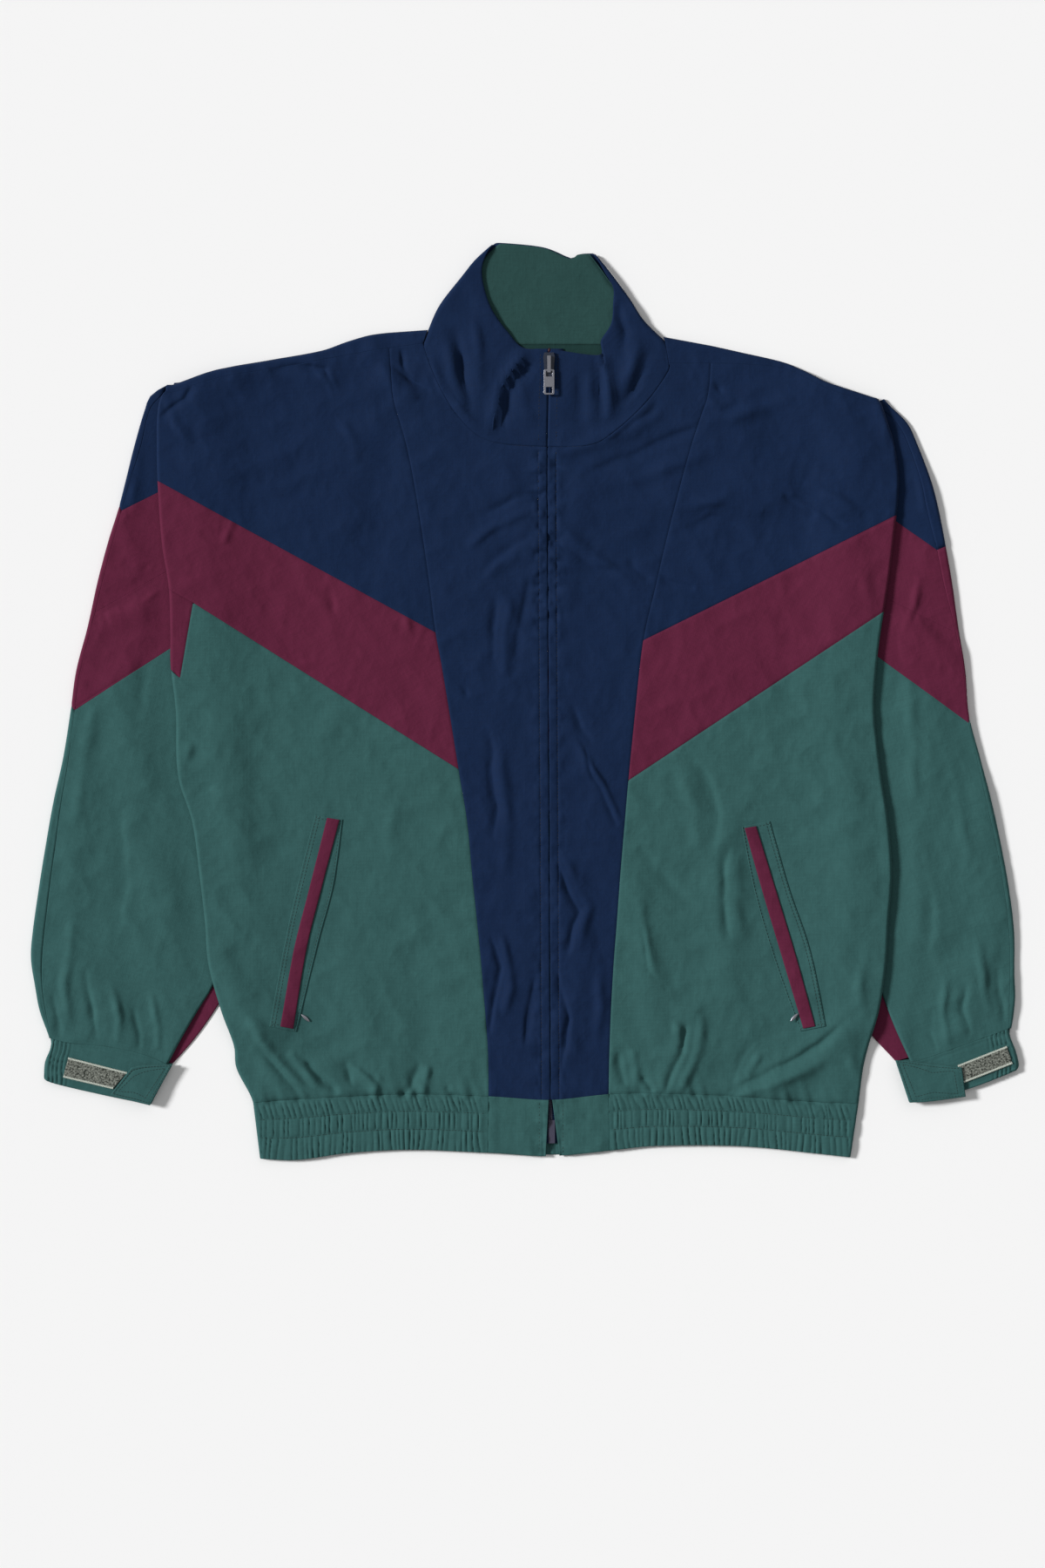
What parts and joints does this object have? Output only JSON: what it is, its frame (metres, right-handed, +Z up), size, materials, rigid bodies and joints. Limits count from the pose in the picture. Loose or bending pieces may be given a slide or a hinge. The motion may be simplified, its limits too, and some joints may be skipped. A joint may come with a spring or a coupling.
{
  "type": "windbreaker jacket",
  "caption": "Windbreaker jacket laid flat: stand collar, chevron bands, welt pockets, full front zip, gathered hem and strapped cuffs.",
  "frame": {"origin": "on the surface that the jacket lies on, under the centre of its bounding box", "axes": "+X across the front, to the right as the picture shows it (the wearer's left); +Y from hem to collar; +Z up, away from the surface, out of the front"},
  "size_m": [0.8499, 0.7903, 0.0116],
  "materials": {
    "navy_cloth": "satin polyester",
    "maroon_cloth": "satin polyester",
    "green_cloth": "satin polyester",
    "green_inside": "satin polyester",
    "hook_tape": "hook tape",
    "steel": "plated",
    "zip_plastic": "moulded"
  },
  "bodies": {
    "jacket": {"back_band": "maroon_cloth", "back_lower": "green_cloth", "back_yoke": "navy_cloth", "collar_back": "navy_cloth", "collar_inside": "green_inside", "collar_left": "navy_cloth", "collar_right": "navy_cloth", "cuff_back_left": "green_cloth", "cuff_back_right": "green_cloth", "cuff_front_left": "green_cloth", "cuff_front_right": "green_cloth", "cuff_patch_left": "hook_tape", "cuff_patch_right": "hook_tape", "cuff_strap_left": "green_cloth", "cuff_strap_right": "green_cloth", "front_band_left": "maroon_cloth", "front_band_right": "maroon_cloth", "front_lower_left": "green_cloth", "front_lower_right": "green_cloth", "front_panel_left": "navy_cloth", "front_panel_right": "navy_cloth", "front_yoke_left": "navy_cloth", "front_yoke_right": "navy_cloth", "hem_back": "green_cloth", "hem_gather_left": "green_cloth", "hem_gather_right": "green_cloth", "hem_tab_left": "green_cloth", "hem_tab_right": "green_cloth", "neck_facing": "green_inside", "pocket_flange_left": "green_cloth", "pocket_flange_right": "green_cloth", "pocket_pull_left": "steel", "pocket_pull_right": "steel", "pocket_welt_left": "maroon_cloth", "pocket_welt_right": "maroon_cloth", "shoulder_left": "navy_cloth", "shoulder_right": "navy_cloth", "side_panel_left": "maroon_cloth", "sleeve_back_band_left": "maroon_cloth", "sleeve_back_band_right": "maroon_cloth", "sleeve_back_lower_left": "green_cloth", "sleeve_back_lower_right": "green_cloth", "sleeve_back_top_left": "navy_cloth", "sleeve_back_top_right": "navy_cloth", "sleeve_band_lower_left": "maroon_cloth", "sleeve_band_lower_right": "maroon_cloth", "sleeve_band_upper_left": "maroon_cloth", "sleeve_band_upper_right": "maroon_cloth", "sleeve_lower_left": "green_cloth", "sleeve_lower_right": "green_cloth", "sleeve_top_left": "navy_cloth", "sleeve_top_right": "navy_cloth", "underarm_left": "maroon_cloth", "underarm_right": "maroon_cloth", "zip_box": "zip_plastic", "zip_slider": "steel", "zip_tape_left": "navy_cloth", "zip_tape_right": "navy_cloth"},
    "zip_pull": {"zip_pull": "steel"}
  },
  "joints": [
    {"name": "zip_pull_swing", "type": "hinge", "parent": "jacket", "child": "zip_pull", "pos_m": [0.0206, 0.2855, 0.00965], "axis": [-1, 0, 0], "range_deg": [0, 140]}
  ]
}
